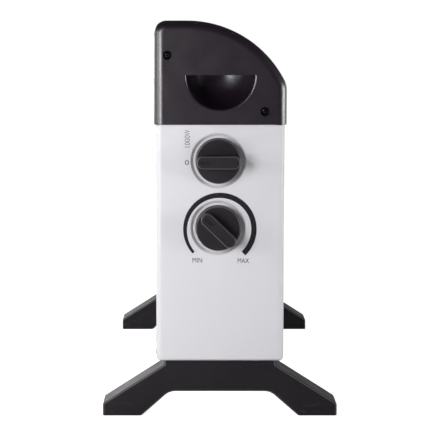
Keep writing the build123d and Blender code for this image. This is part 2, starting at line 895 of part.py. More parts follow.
def switch_body():
    """Moulded rotary switch with its bush, screwed to the back of the end panel."""
    y = switch_width / 2
    z = switch_height / 2
    case = block(dish_back, dish_back + switch_depth, -y, y, power_z - z, power_z + z)
    case = fillet(case.edges().filter_by(Axis.X), switch_corner)
    case = chamfer(case.faces().sort_by(Axis.X)[-1].edges(), switch_chamfer)
    case += control_bush(power_z, dish_back + switch_chamfer)
    bore_end = dish_back + switch_shaft_reach + shaft_end_gap
    case -= rod_x(shaft_radius + shaft_fit, bush_front - past, bore_end - bush_front + past, 0, power_z)
    for side in (-control_screw_reach, control_screw_reach):
        case -= hole_x(screw_radius, dish_back, screw_point, side, power_z)
    return case


def tab(x, y, z):
    """A flat push-on tab that points along +X, with a hole near its end."""
    half = tab_thickness / 2
    blade = block(x, x + tab_length, y - half, y + half, z - tab_width / 2, z + tab_width / 2)
    blade = chamfer(blade.edges().filter_by(Axis.Y).group_by(Axis.X)[-1], tab_chamfer)
    return blade - hole_y(tab_hole_radius, y - half, tab_thickness, x + tab_hole_reach, z)


def switch_tabs():
    """The two brass tabs at the back of the switch."""
    back = dish_back + switch_depth
    return tab(back, -tab_spread, power_z) + tab(back, tab_spread, power_z)


def control_shaft(inner, z, turn):
    """Steel shaft with a flat for its knob, turned by turn degrees about +X."""
    tip = knob_face - shaft_tip_depth
    shaft = rod_x(shaft_radius, tip, inner - tip)
    flat = block(
        tip - past, hub_base, -shaft_radius, shaft_radius, shaft_radius - shaft_flat, shaft_radius + past
    )
    return Pos(0, 0, z) * Rot(turn, 0, 0) * (shaft - flat)


def knob_disc():
    """The knob's hollow disc about the X axis, open towards the panel."""
    profile = Polyline(
        (knob_base, 0), (knob_base, knob_radius), (knob_face, knob_radius - knob_taper), (knob_face, 0), close=True
    )
    disc = revolve(make_face(profile), Axis.X)
    return fillet(disc.edges().sort_by(Axis.X)[0], knob_edge_radius)


def knob_hollow():
    """The space inside the knob's disc."""
    roof = knob_face + knob_wall
    inner = knob_radius - knob_wall
    mouth = knob_base + past
    profile = Polyline((mouth, 0), (mouth, inner), (roof, inner - knob_taper), (roof, 0), close=True)
    return revolve(make_face(profile), Axis.X)


def grip_bar():
    """The bar across the knob's face, with a rounded top edge."""
    outline = RectangleRounded(grip_length, grip_width, grip_end_radius)
    bar = along_x(outline, knob_tip, knob_face + knob_wall / 2 - knob_tip)
    return fillet(bar.faces().sort_by(Axis.X)[0].edges(), grip_edge_radius)


def knob_bore():
    """The flatted bore that takes the shaft."""
    end = knob_face - shaft_tip_depth - shaft_end_gap
    radius = shaft_radius + shaft_fit
    flat_z = shaft_radius - shaft_flat + shaft_fit
    bore = rod_x(radius, end, hub_base + past - end)
    return bore - block(end - past, hub_base + 2 * past, -radius, radius, flat_z, radius + past)


def knob_shape():
    """Knob about the X axis: hollow disc, grip bar with a pointer slot, hub and four ribs."""
    knob = knob_disc() + grip_bar() - knob_hollow()
    root = knob_face + knob_wall / 2
    knob += rod_x(hub_radius, root, hub_base - root)
    half = knob_rib_thickness / 2
    rib = block(root, hub_base - knob_rib_drop, -half, half, 0, knob_radius - knob_taper - knob_wall / 2)
    for angle in (45, 135, 225, 315):
        knob += Rot(angle, 0, 0) * rib
    pointer_y = grip_length / 2 - pointer_margin - pointer_length / 2
    pointer = Pos(pointer_y, 0) * SlotOverall(pointer_length, pointer_width)
    return knob - knob_bore() - along_x(pointer, knob_tip - past, past + pointer_depth)


def knob(z, turn):
    """A knob in its place, turned by turn degrees about +X from pointing to the rear."""
    return Pos(0, 0, z) * Rot(turn, 0, 0) * knob_shape()


def control_screws():
    """The four screws under the knobs, which hold the switch and the thermostat."""
    screw = Rot(0, 90, 0) * pan_head_screw(sheet + screw_point)
    screws = Part()
    for z in (power_z, thermostat_z):
        for y in (-control_screw_reach, control_screw_reach):
            screws += Pos(dish_floor, y, z) * screw
    return screws


def stack_start(index):
    """Where a ring of the thermostat's stack starts along X."""
    return dish_back + frame_sheet + index * (ring_height + leaf_thickness)


def thermostat_frame():
    """Steel frame of the thermostat, with the bush of its shaft and the pin of its stack."""
    half = frame_width / 2
    low = thermostat_z - frame_below
    high = thermostat_z + frame_above
    plate = block(dish_back, dish_back + frame_sheet, -half, half, low, high)
    plate = fillet(plate.edges().filter_by(Axis.X), frame_corner)
    bush_end = dish_back + frame_sheet + bush_tail
    plate += control_bush(thermostat_z, bush_end)
    plate -= hole_x(shaft_radius + shaft_fit, bush_front, bush_end - bush_front, 0, thermostat_z)
    for side in (-control_screw_reach, control_screw_reach):
        plate -= hole_x(screw_radius, dish_back, frame_sheet, side, thermostat_z)
    pin_end = stack_start(stack_rings) + stack_pin_proud
    return plate + rod_x(stack_pin_radius, dish_back, pin_end - dish_back, 0, stack_z)


def thermostat_rings():
    """Ceramic rings of the thermostat's stack."""
    rings = Part()
    for index in range(stack_rings):
        ring = rod_x(stack_radius, stack_start(index), ring_height, 0, stack_z)
        rings += ring - hole_x(stack_pin_radius + stack_fit, stack_start(index), ring_height, 0, stack_z)
    return rings


def leaf_start(index):
    """Where a leaf of the stack starts along X, on its ring."""
    return stack_start(index) + ring_height


def leaf(index, overrun):
    """A leaf of the stack, from just below its ring to a height above the stack's own distance."""
    start = leaf_start(index)
    half = leaf_width / 2
    strip = block(start, start + leaf_thickness, -half, half, leaf_end_z, leaf_end_z + stack_drop + overrun)
    strip = fillet(strip.edges().filter_by(Axis.X), leaf_corner)
    return strip - hole_x(stack_pin_radius + stack_fit, start, leaf_thickness, 0, stack_z)


def thermostat_springs():
    """The two contact leaves of the thermostat, each with a rivet contact, standing open."""
    contact_z = thermostat_z + contact_rise
    first = leaf_start(0) + leaf_thickness / 2
    second = leaf_start(1) + leaf_thickness / 2
    reach = (second - first - contact_gap) / 2
    lower = leaf(0, leaf_overrun) + rod_x(contact_radius, first, reach, 0, contact_z)
    upper = leaf(1, leaf_overrun) + rod_x(contact_radius, second - reach, reach, 0, contact_z)
    return lower + upper


def thermostat_bimetal():
    """The bimetal strip at the back of the stack, which senses the room air."""
    return leaf(2, bimetal_overrun)


def thermal_cutout():
    """Snap-disc cut-out: a round moulded body through the partition, with a screw flange."""
    face = -partition_x
    half_width = cutout_flange_width / 2
    half_height = cutout_flange_height / 2
    body = rod_x(cutout_radius, face - cutout_height, cutout_height + sheet + cutout_proud, 0, cutout_z)
    back = face - cutout_flange_thickness
    flange = block(back, face, -half_width, half_width, cutout_z - half_height, cutout_z + half_height)
    body += fillet(flange.edges().filter_by(Axis.X), cutout_flange_corner)
    for y in (-cutout_hole_spacing / 2, cutout_hole_spacing / 2):
        body -= hole_x(stud_radius + neck_fit, back, cutout_flange_thickness, y, cutout_z)
    return body


def cutout_tabs():
    """The two tabs of the cut-out, which point towards the controls."""
    end = partition_x + cutout_height
    return far_end(tab(end, -cutout_tab_spread, cutout_z) + tab(end, cutout_tab_spread, cutout_z))


def cutout_screws():
    """Small screws that hold the cut-out to the partition."""
    seat = -partition_x - cutout_flange_thickness
    screws = Part()
    for y in (-cutout_hole_spacing / 2, cutout_hole_spacing / 2):
        head = rod_x(cutout_head_radius, seat - cutout_head_height, cutout_head_height, y, cutout_z)
        screws += head + rod_x(stud_radius, seat, screw_point, y, cutout_z)
    return screws


def way_x(index):
    """Place of a way of the terminal block along X."""
    return block_x + (index - (block_ways - 1) / 2) * block_length / block_ways


def terminal_block():
    """Moulded terminal block on the end panel's tongue, with a clamp well for each wire."""
    half = block_length / 2
    front = block_y - block_width / 2
    rear = block_y + block_width / 2
    top = base_floor + block_height
    body = block(block_x - half, block_x + half, front, rear, base_floor, top)
    body = fillet(body.edges().filter_by(Axis.Z), block_corner)
    middle_z = base_floor + block_height / 2
    for way in range(block_ways):
        x = way_x(way)
        body -= rod_z(clamp_radius, top - clamp_depth, clamp_depth + past, x, block_y)
        body -= rod_y(wire_way_radius, front - past, wire_way_depth + past, x, middle_z)
        body -= rod_y(wire_way_radius, rear - wire_way_depth, wire_way_depth + past, x, middle_z)
    return body


def wire(points):
    """A wire through a list of points, with every turn rounded."""
    path = FilletPolyline(*points, radius=wire_bend)
    return sweep(Plane(origin=path @ 0, z_dir=path % 0) * Circle(wire_radius), path=path)


def block_way(index):
    """Where a wire starts inside the terminal block."""
    return (way_x(index), block_y - block_width / 2 + wire_start_depth, base_floor + block_height / 2)


def live_wires():
    """Wires from the terminal block over the switch, thermostat and cut-out to the heating rod."""
    turn = 2 * wire_bend + past
    switch_tip = dish_back + switch_depth + tab_length
    riser = switch_tip + turn
    start = block_way(2)
    front_y = control_y - tab_spread
    rear_y = control_y + tab_spread
    supply = wire(
        [
            start,
            (start[0], front_y, start[2]),
            (riser, front_y, start[2] + turn),
            (riser, front_y, power_z),
            (switch_tip, front_y, power_z),
        ]
    )
    first_x = leaf_start(0) + leaf_thickness / 2
    second_x = leaf_start(1) + leaf_thickness / 2
    low_z = leaf_end_z - 2 * turn
    to_thermostat = wire(
        [
            (switch_tip, rear_y, power_z),
            (riser + wire_bend, rear_y, power_z),
            (riser + wire_bend, rear_y, low_z),
            (first_x, control_y, low_z),
            (first_x, control_y, leaf_end_z),
        ]
    )
    cutout_tip = -partition_x - cutout_height - tab_length
    side_x = leaf_start(stack_rings - 1) + wire_bend
    to_cutout = wire(
        [
            (second_x, control_y, leaf_end_z),
            (second_x, control_y, leaf_end_z - turn),
            (side_x, -wire_side_y, leaf_end_z - turn),
            (side_x, -wire_side_y, cutout_z),
            (side_x, -cutout_tab_spread, cutout_z),
            (cutout_tip, -cutout_tab_spread, cutout_z),
        ]
    )
    stud_tip = -partition_x - rod_overhang - stud_length
    to_rod = wire(
        [
            (cutout_tip, cutout_tab_spread, cutout_z),
            (cutout_tip - turn, cutout_tab_spread, cutout_z),
            (stud_tip - turn, wire_side_y, cutout_z - turn),
            (stud_tip - turn, wire_side_y, element_z),
            (stud_tip - turn, 0, element_z),
            (stud_tip, 0, element_z),
        ]
    )
    return supply + to_thermostat + to_cutout + to_rod


def neutral_wire():
    """Wire from the terminal block along the base to the far end of the heating rod."""
    turn = 2 * wire_bend + past
    start = block_way(1)
    stud_tip = partition_x + rod_overhang + stud_length
    far_x = stud_tip + turn
    return wire(
        [
            start,
            (start[0], -foot_screw_y / 2, start[2]),
            (start[0] + turn, wire_hole_y, wire_hole_z),
            (far_x, wire_hole_y, wire_hole_z),
            (far_x, 0, element_z - turn),
            (far_x, 0, element_z),
            (stud_tip, 0, element_z),
        ]
    )


def earth_wire():
    """Short wire from the terminal block to the earth tag on the end panel's tongue."""
    start = block_way(0)
    low_z = base_floor + tag_thickness + wire_radius
    return wire(
        [
            start,
            (start[0], earth_y / 4, start[2]),
            (start[0], earth_y, low_z),
            (earth_x - head_radius - past, earth_y, low_z),
        ]
    )


def earth_tag():
    """Ring tag of the earth wire, with its tail towards the wire."""
    half = tag_width / 2
    ring = rod_z(head_radius + tag_thickness, base_floor, tag_thickness, earth_x, earth_y)
    tail = block(way_x(0), earth_x, earth_y - half, earth_y + half, base_floor, base_floor + tag_thickness)
    return ring + tail - hole_z(screw_radius + screw_fit, base_floor, tag_thickness, earth_x, earth_y)


def earth_screw():
    """The screw that clamps the earth tag."""
    return Pos(earth_x, earth_y, base_floor + tag_thickness) * Rot(180, 0, 0) * pan_head_screw(sheet + tag_thickness)


def cord_gland():
    """Moulded gland in the rear panel, where the supply cord enters."""
    gland = rod_y(gland_collar_radius, panel_half, gland_proud, gland_x, gland_z)
    gland = fillet(gland.faces().sort_by(Axis.Y)[-1].edges(), gland_proud / 2)
    gland += rod_y(gland_neck_radius, inner_half, sheet, gland_x, gland_z)
    gland += rod_y(gland_collar_radius, inner_half - gland_reach, gland_reach, gland_x, gland_z)
    length = gland_reach + sheet + gland_proud
    return gland - hole_y(gland_bore_radius, inner_half - gland_reach, length, gland_x, gland_z)


def write(name, shape):
    """Writes one node, moved from the casing's middle to the heater's own origin."""
    export_step(Pos(centre_shift, 0, 0) * shape, f"parts/{name}.step")


def write_casing():
    """Writes the panels, caps, feet and grille with their screws."""
    cap = end_cap()
    stand = foot()
    write("control_end_cap", cap)
    write("plain_end_cap", far_end(cap))
    write("cap_screws", cap_screws())
    write("control_end_panel", control_end_panel())
    write("plain_end_panel", far_end(plain_pan()))
    write("front_panel", front_panel())
    write("rear_panel", rear_panel())
    write("panel_screws", panel_screws())
    write("base_plate", base_plate())
    write("outlet_grille", outlet_grille())
    write("control_foot", stand)
    write("plain_foot", far_end(stand))
    write("foot_screws", foot_screws())


def write_chamber():
    """Writes the partitions and the heating element between them."""
    bush = element_bush()
    terminal = element_terminal()
    grommet = wire_grommet()
    write("control_partition", control_partition())
    write("plain_partition", far_end(partition()))
    write("heat_shield", heat_shield())
    write("heating_element", heating_element())
    write("element_rod", element_rod())
    write("element_bushes", bush + far_end(bush))
    write("element_terminals", terminal + far_end(terminal))
    write("wire_grommets", grommet + far_end(grommet))


def write_controls():
    """Writes the switch and the thermostat with their shafts and knobs."""
    switch_end = dish_back + switch_shaft_reach
    thermostat_end = leaf_start(0) - shaft_leaf_gap
    write("switch_body", on_control_line(switch_body()))
    write("switch_tabs", on_control_line(switch_tabs()))
    write("switch_shaft", on_control_line(control_shaft(switch_end, power_z, 0)))
    write("power_knob", on_control_line(knob(power_z, 0)))
    write("thermostat_frame", on_control_line(thermostat_frame()))
    write("thermostat_rings", on_control_line(thermostat_rings()))
    write("thermostat_springs", on_control_line(thermostat_springs()))
    write("thermostat_bimetal", on_control_line(thermostat_bimetal()))
    write("thermostat_shaft", on_control_line(control_shaft(thermostat_end, thermostat_z, thermostat_turn)))
    write("thermostat_knob", on_control_line(knob(thermostat_z, thermostat_turn)))
    write("control_screws", on_control_line(control_screws()))


def write_wiring():
    """Writes the cut-out, the terminal block, the wires and the cord gland."""
    write("thermal_cutout", thermal_cutout())
    write("cutout_tabs", cutout_tabs())
    write("cutout_screws", cutout_screws())
    write("terminal_block", terminal_block())
    write("live_wires", live_wires())
    write("neutral_wire", neutral_wire())
    write("earth_wire", earth_wire())
    write("earth_tag", earth_tag())
    write("earth_screw", earth_screw())
    write("cord_gland", cord_gland())


def main():
    os.makedirs("parts", exist_ok=True)
    write_casing()
    write_chamber()
    write_controls()
    write_wiring()


main()
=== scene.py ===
# %% [markdown]
# # A convector heater
# A small convector heater stands on two splayed feet: a white casing of folded sheet steel, black
# moulded caps on both ends, a louvred outlet between them and two rotary knobs on one end panel.
# Its exact solids come from a packed model, in metres, with the floor at z = 0 and the controls at -X.
# They could be modelled here again, but then the two models would drift apart, so this script leaves
# their shapes alone. It gives them their finishes, prints the dials and lights the heater.

# %% Load the solids
import bmesh
import bpy
import json
import math
from mathutils import Matrix, Vector


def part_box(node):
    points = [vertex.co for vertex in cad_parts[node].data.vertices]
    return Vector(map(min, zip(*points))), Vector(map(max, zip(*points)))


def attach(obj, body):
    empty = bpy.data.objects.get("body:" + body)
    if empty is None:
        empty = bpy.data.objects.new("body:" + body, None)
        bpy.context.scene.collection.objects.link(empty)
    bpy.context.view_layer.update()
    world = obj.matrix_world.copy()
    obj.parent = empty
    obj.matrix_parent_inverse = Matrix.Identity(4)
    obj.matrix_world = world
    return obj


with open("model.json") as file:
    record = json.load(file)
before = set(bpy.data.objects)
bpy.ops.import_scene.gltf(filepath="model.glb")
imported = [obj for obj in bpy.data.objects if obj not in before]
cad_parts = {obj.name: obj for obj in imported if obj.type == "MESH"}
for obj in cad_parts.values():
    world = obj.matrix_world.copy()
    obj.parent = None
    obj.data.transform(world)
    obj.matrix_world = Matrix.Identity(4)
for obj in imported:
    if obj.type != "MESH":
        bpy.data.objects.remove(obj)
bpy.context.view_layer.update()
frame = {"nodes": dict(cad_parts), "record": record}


# %% [markdown]
# ## Wiring a tree of nodes
# Every finish, the world and the floor is a tree of shader nodes. Each could be wired up by hand in the
# shader editor, but the same few nodes come back in all of them, so a small class makes and links them
# and each tree stays a few lines long.

# %% Nodes and their links
class Wiring:
    """Makes and links the nodes of one shader tree."""

    def __init__(self, tree):
        self.tree = tree

    def node(self, kind, **sockets):
        made = self.tree.nodes.new(kind)
        for name, value in sockets.items():
            made.inputs[name].default_value = value
        return made

    def link(self, source, target):
        self.tree.links.new(source, target)

    def level(self, source, start, end, low, high, smooth=False):
        """Maps start to low and end to high, and holds those values beyond them."""
        made = self.node("ShaderNodeMapRange")
        if smooth:
            made.interpolation_type = "SMOOTHSTEP"
        for name, value in (("From Min", start), ("From Max", end), ("To Min", low), ("To Max", high)):
            made.inputs[name].default_value = value
        self.link(source, made.inputs["Value"])
        return made.outputs["Result"]

    def join(self, operation, first, second):
        """Joins two values, with an operation such as MULTIPLY or MAXIMUM."""
        made = self.node("ShaderNodeMath")
        made.operation = operation
        self.link(first, made.inputs[0])
        self.link(second, made.inputs[1])
        return made.outputs["Value"]

    def axis(self, vector, letter):
        """One axis of a vector: X, Y or Z."""
        parts = self.node("ShaderNodeSeparateXYZ")
        self.link(vector, parts.inputs["Vector"])
        return parts.outputs[letter]


print("wiring:", [name for name in vars(Wiring) if not name.startswith("_")])


# %% [markdown]
# ## Patterns in metres
# A real surface is never one flat colour: its colour, its gloss and its tiny bumps all change a little
# from place to place. The patterns for that read Object coordinates. Every piece sits at the origin, so
# these are real metres, and a grain of half a millimetre is half a millimetre on every piece. UV maps
# would do too, but then each of the 42 pieces would have to be unwrapped at the same scale.

# %% Patterns
class Patterns(Wiring):
    """Noise, specks and layers, all placed by Object coordinates."""

    def __init__(self, tree):
        super().__init__(tree)
        self.place = self.node("ShaderNodeTexCoord").outputs["Object"]

    def stretched(self, scale):
        """Object coordinates squeezed or stretched along each axis."""
        mapping = self.node("ShaderNodeMapping", Scale=scale)
        self.link(self.place, mapping.inputs["Vector"])
        return mapping.outputs["Vector"]

    def noise(self, scale, detail=2.0, place=None):
        made = self.node("ShaderNodeTexNoise", Scale=scale, Detail=detail)
        self.link(place or self.place, made.inputs["Vector"])
        return made.outputs["Fac"]

    def specks(self, scale, radius):
        """Small round specks, one at random in each cell: 1 inside a speck and 0 outside."""
        cells = self.node("ShaderNodeTexVoronoi", Scale=scale)
        self.link(self.place, cells.inputs["Vector"])
        return self.level(cells.outputs["Distance"], radius, 0.6 * radius, 0.0, 1.0)

    def below(self, low, high):
        """1 up to the height low, fading to 0 at the height high."""
        return self.level(self.axis(self.place, "Z"), low, high, 1.0, 0.0)

    def layer(self, start, end, soft=0.0001):
        """1 between two places along X and 0 outside them, with soft ends."""
        along = self.axis(self.place, "X")
        after = self.level(along, start - soft, start, 0.0, 1.0)
        before = self.level(along, end, end + soft, 1.0, 0.0)
        return self.join("MULTIPLY", after, before)


print("patterns:", [name for name in vars(Patterns) if not name.startswith("_")])


# %% [markdown]
# ## From patterns to a finish
# A finish takes its base colour, its roughness and its bumps from such patterns. A colour ramp turns
# a noise into two close shades, and a mask lays dust or wear over them. The bumps are stacked from coarse
# to fine, each with its own depth, because one noise can't be both a soft wave and a fine grain.

# %% A finish
class Finish(Patterns):
    """A Principled material made of patterns."""

    def __init__(self, name, metallic=0.0, specular=0.5):
        self.material = bpy.data.materials.new(name)
        self.material.use_nodes = True
        super().__init__(self.material.node_tree)
        self.shader = self.tree.nodes["Principled BSDF"]
        self.shader.inputs["Metallic"].default_value = metallic
        self.shader.inputs["Specular IOR Level"].default_value = specular

    def ramp(self, source, stops):
        """A colour ramp through (place, colour) stops."""
        made = self.node("ShaderNodeValToRGB")
        points = made.color_ramp.elements
        while len(points) < len(stops):
            points.new(0.5)
        for point, (place, colour) in zip(points, stops):
            point.position = place
            point.color = (*colour, 1.0)
        self.link(source, made.inputs["Fac"])
        return made.outputs["Color"]

    def over(self, below, colour, mask):
        """Lays a plain colour over another one where the mask is 1."""
        made = self.node("ShaderNodeMix")
        made.data_type = "RGBA"
        self.link(mask, made.inputs["Factor"])
        self.link(below, made.inputs["A"])
        made.inputs["B"].default_value = (*colour, 1.0)
        return made.outputs["Result"]

    def colour(self, source):
        self.link(source, self.shader.inputs["Base Color"])

    def roughness(self, source):
        self.link(source, self.shader.inputs["Roughness"])

    def bumps(self, *layers):
        """Stacks bumps, each a pattern with its strength and its depth in metres."""
        normal = None
        for pattern, strength, depth in layers:
            made = self.node("ShaderNodeBump", Strength=strength, Distance=depth)
            self.link(pattern, made.inputs["Height"])
            if normal:
                self.link(normal, made.inputs["Normal"])
            normal = made.outputs["Normal"]
        self.link(normal, self.shader.inputs["Normal"])


print("finish:", [name for name in vars(Finish) if not name.startswith("_")])


# %% [markdown]
# ## White stove enamel
# The casing is sheet steel with a baked powder coat. Such a coat is almost even, but the powder flows
# into a faint orange peel a few millimetres across, and hands leave the gloss a little uneven. The peel
# could be modelled in the mesh, but it is a few microns deep, so a bump does it. A broad noise moves the
# white by a few percent, and a finer one moves the roughness. The cord gland looks like it but a little
# greyer, so it gets the same finish in darker shades.

# %% Enamel for the casing
ENAMEL_DUST = (0.52, 0.51, 0.52)


def stove_enamel(name, light, shade):
    finish = Finish(name, specular=0.5)
    coat = finish.ramp(finish.noise(8.0, detail=3.0), [(0.3, shade), (0.7, light)])
    dust = finish.level(finish.noise(420.0, detail=4.0), 0.62, 0.78, 0.0, 0.12)
    finish.colour(finish.over(coat, ENAMEL_DUST, dust))
    finish.roughness(finish.level(finish.noise(45.0, detail=3.0), 0.3, 0.7, 0.34, 0.46))
    peel = finish.noise(900.0, detail=1.0)
    finish.bumps((finish.noise(140.0), 0.06, 0.0006), (peel, 0.1, 0.00015))
    return finish.material


casing_enamel = stove_enamel("casing_enamel", light=(0.74, 0.73, 0.765), shade=(0.71, 0.70, 0.735))
gland_white = stove_enamel("gland_white", light=(0.52, 0.51, 0.52), shade=(0.44, 0.43, 0.44))
print("enamels:", casing_enamel.name, gland_white.name)


# %% [markdown]
# ## Black mouldings
# Caps, feet and knobs are injection moulded in a black plastic, in a mould with a fine spark-eroded
# grain. The grain spreads highlights into soft bands, so the long rounded edges of the caps show a broad
# grey sheen. A few pale specks stand for lint. Low on the feet the plastic is scuffed paler by shoes
# and carpet, which a mask that fades with height gives without any painted texture.

# %% Grained black plastic
LINT = (0.09, 0.088, 0.09)
SCUFF = (0.05, 0.048, 0.05)
# Painted highlight: a paler colour laid on the rounded edges just behind faces that look towards -X.
EDGE_HIGHLIGHT = (0.09, 0.084, 0.09)
HIGHLIGHT_START = 0.00005
HIGHLIGHT_END = 0.0005
# Painted shade: near-black laid over the floor of each pointer slot.
SLOT_SHADE = (0.002, 0.002, 0.002)
SLOT_SHADE_BEFORE = 0.0002
SLOT_SHADE_BEHIND = 0.0004


def scuffed(finish, base):
    """Lays long scuffs over the lowest two centimetres."""
    streaks = finish.noise(1.0, detail=6.0, place=finish.stretched((60.0, 90.0, 320.0)))
    rubbed = finish.level(streaks, 0.56, 0.7, 0.0, 0.5)
    return finish.over(base, SCUFF, finish.join("MULTIPLY", rubbed, finish.below(0.004, 0.02)))


def black_moulding(name, dark, worn, grain, smooth, rough, gloss, scuffs=False, edges=(), slot_x=None):
    """Grained plastic, with a painted highlight just behind each face in edges and painted shade at the
    slot floor slot_x.
    """
    finish = Finish(name, specular=gloss)
    base = finish.ramp(finish.noise(22.0, detail=5.0), [(0.35, dark), (0.75, worn)])
    patches = finish.level(finish.noise(30.0), 0.5, 0.62, 0.0, 0.35)
    base = finish.over(base, LINT, finish.join("MULTIPLY", finish.specks(210.0, 0.05), patches))
    if scuffs:
        base = scuffed(finish, base)
    # Painted highlight: a thin paler layer just behind each listed face, where its rounded edge would
    # shine.
    for face_x in edges:
        highlight_layer = finish.layer(face_x + HIGHLIGHT_START, face_x + HIGHLIGHT_END, soft=0.00003)
        base = finish.over(base, EDGE_HIGHLIGHT, highlight_layer)
    # Painted shade darkens the floor of the pointer slot.
    if slot_x is not None:
        slot_shade_layer = finish.layer(slot_x - SLOT_SHADE_BEFORE, slot_x + SLOT_SHADE_BEHIND)
        base = finish.over(base, SLOT_SHADE, slot_shade_layer)
    finish.colour(base)
    finish.roughness(finish.level(finish.noise(60.0, detail=3.0), 0.3, 0.7, smooth, rough))
    spark = finish.noise(grain, detail=2.0)
    finish.bumps((finish.noise(75.0), 0.04, 0.0008), (spark, 0.12, 0.00012))
    return finish.material


cap_black = black_moulding(
    "cap_moulding", dark=(0.0085, 0.0033, 0.0095), worn=(0.0125, 0.0062, 0.0135),
    grain=2200.0, smooth=0.3, rough=0.35, gloss=1.0,
)
print("cap finish:", cap_black.name)


# %% [markdown]
# ## Painted highlights and shade on feet and knobs
# The edges round those faces of the feet, the grips and the knob discs that look towards -X get a
# painted highlight, a paler colour, and the floor of each pointer slot gets painted shade. Such marks
# could be found from the curvature of the mesh, but the picture shows them only on edges that lie at a
# known place along X, so a thin layer across X picks each of them out. Both knobs are alike, so the power
# knob stands for the two.

# %% Plastic for feet and knobs
DISC_HEIGHT = 0.0065
POINTER_DEPTH = 0.0008

# The faces given as edges get a painted highlight on their rounded edges.
foot_faces = [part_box(foot)[0].x for foot in ("control_foot", "plain_foot")]
grip_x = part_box("power_knob")[0].x
panel_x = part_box("control_end_panel")[0].x
foot_black = black_moulding(
    "foot_moulding", dark=(0.0075, 0.0048, 0.008), worn=(0.0115, 0.0082, 0.012),
    grain=1900.0, smooth=0.52, rough=0.62, gloss=0.3, scuffs=True, edges=foot_faces,
)
knob_black = black_moulding(
    "knob_moulding", dark=(0.008, 0.0052, 0.0087), worn=(0.012, 0.0085, 0.0128),
    grain=2600.0, smooth=0.4, rough=0.48, gloss=0.42,
    edges=(grip_x, panel_x - DISC_HEIGHT), slot_x=grip_x + POINTER_DEPTH,
)
print("foot faces, grips and panel at x =", [round(x, 5) for x in (*foot_faces, grip_x, panel_x)])


# %% [markdown]
# ## Heat-proof paint on the outlet
# The louvred outlet gets warm, so it has a thin satin paint that takes the heat. Wet paint levels out
# but leaves a light mist of overspray, and dust is drawn through the louvres with the air. One noise
# makes the mist in the gloss, and a second lays a thin grey dust in patches.

# %% Satin black paint
AIRBORNE_DUST = (0.06, 0.058, 0.055)


def heat_paint():
    finish = Finish("outlet_paint", specular=0.4)
    tones = [(0.3, (0.010, 0.010, 0.011)), (0.7, (0.016, 0.016, 0.017))]
    paint = finish.ramp(finish.noise(18.0, detail=4.0), tones)
    dust = finish.level(finish.noise(55.0, detail=6.0), 0.55, 0.8, 0.0, 0.25)
    finish.colour(finish.over(paint, AIRBORNE_DUST, dust))
    finish.roughness(finish.level(finish.noise(160.0, detail=2.0), 0.3, 0.7, 0.4, 0.56))
    finish.bumps((finish.noise(1300.0, detail=2.0), 0.15, 0.0001))
    return finish.material


outlet_paint = heat_paint()
print("outlet:", outlet_paint.name)


# %% [markdown]
# ## Bare and plated metals
# Inside, the sheet is zinc plated, the heating block is extruded aluminium, the rod has a steel sheath
# that heat has stained brown, and the contacts are brass. The cap screws are blackened. Zinc crystals
# show as soft patches of grey, and an extrusion has fine lines along its length. Stretching the same
# noise along X turns patches into lines, so one function makes all these metals.

# %% Metals with their patches and lines
def metal(name, colour, shade, roughness, lines=(1.0, 1.0, 1.0), patch=60.0):
    finish = Finish(name, metallic=1.0)
    finish.colour(finish.ramp(finish.noise(patch, detail=4.0), [(0.32, shade), (0.68, colour)]))
    drawn = finish.noise(420.0, detail=3.0, place=finish.stretched(lines))
    finish.roughness(finish.level(drawn, 0.3, 0.7, roughness - 0.08, roughness + 0.1))
    finish.bumps((drawn, 0.12, 0.00008))
    return finish.material


zinc = metal("zinc_plate", (0.62, 0.62, 0.6), (0.5, 0.5, 0.5), 0.36)
aluminium = metal("extruded_aluminium", (0.78, 0.79, 0.8), (0.7, 0.71, 0.72), 0.32, lines=(0.03, 1.0, 1.0))
heated_steel = metal("heat_stained_sheath", (0.34, 0.29, 0.25), (0.2, 0.15, 0.12), 0.42, patch=35.0)
brass = metal("brass_contact", (0.74, 0.55, 0.26), (0.6, 0.42, 0.18), 0.3)
screw_black = metal("blackened_screw", (0.055, 0.053, 0.056), (0.03, 0.029, 0.031), 0.26)
print("metals:", [m.name for m in (zinc, aluminium, heated_steel, brass, screw_black)])


# %% [markdown]
# ## Ceramic, phenolic, nylon, rubber and silicone
# The electrical pieces are dull and plain, but each has its own grain: pressed ceramic is chalky,
# phenolic resin has a faint mottle, nylon is waxy, and silicone sleeves are matt with a soft sheen.
# These differ only in colour, gloss and the size of the grain, so a table of values is clearer than
# many functions.

# %% Dull pieces
def dull_piece(name, colour, roughness, grain):
    finish = Finish(name, specular=0.4)
    shade = tuple(0.8 * c for c in colour)
    finish.colour(finish.ramp(finish.noise(45.0, detail=4.0), [(0.3, shade), (0.7, colour)]))
    finish.roughness(finish.level(finish.noise(130.0), 0.3, 0.7, roughness - 0.06, roughness + 0.08))
    finish.bumps((finish.noise(grain, detail=2.0), 0.15, 0.00015))
    return finish.material


DULL_PIECES = {
    "ceramic": ("pressed_ceramic", (0.78, 0.76, 0.7), 0.62, 1500.0),
    "switch_moulding": ("phenolic_resin", (0.045, 0.04, 0.038), 0.45, 1100.0),
    "pale_moulding": ("pale_nylon", (0.7, 0.67, 0.58), 0.48, 900.0),
    "grommet_rubber": ("grommet_rubber", (0.028, 0.028, 0.028), 0.7, 1400.0),
    "brown_insulation": ("brown_sleeve", (0.16, 0.07, 0.03), 0.55, 1800.0),
    "blue_insulation": ("blue_sleeve", (0.03, 0.09, 0.32), 0.55, 1800.0),
    "green_insulation": ("green_sleeve", (0.12, 0.3, 0.04), 0.55, 1800.0),
}
dull = {slot: dull_piece(*values) for slot, values in DULL_PIECES.items()}
print("dull pieces:", len(dull))


# %% [markdown]
# ## Which piece gets which finish
# The packed record says which material slot each solid belongs to, so the finishes are handed out by
# slot. Three pieces differ from their slot: both feet get the scuffed plastic, and the cord gland is
# white like the casing. Setting them by name keeps the table short.

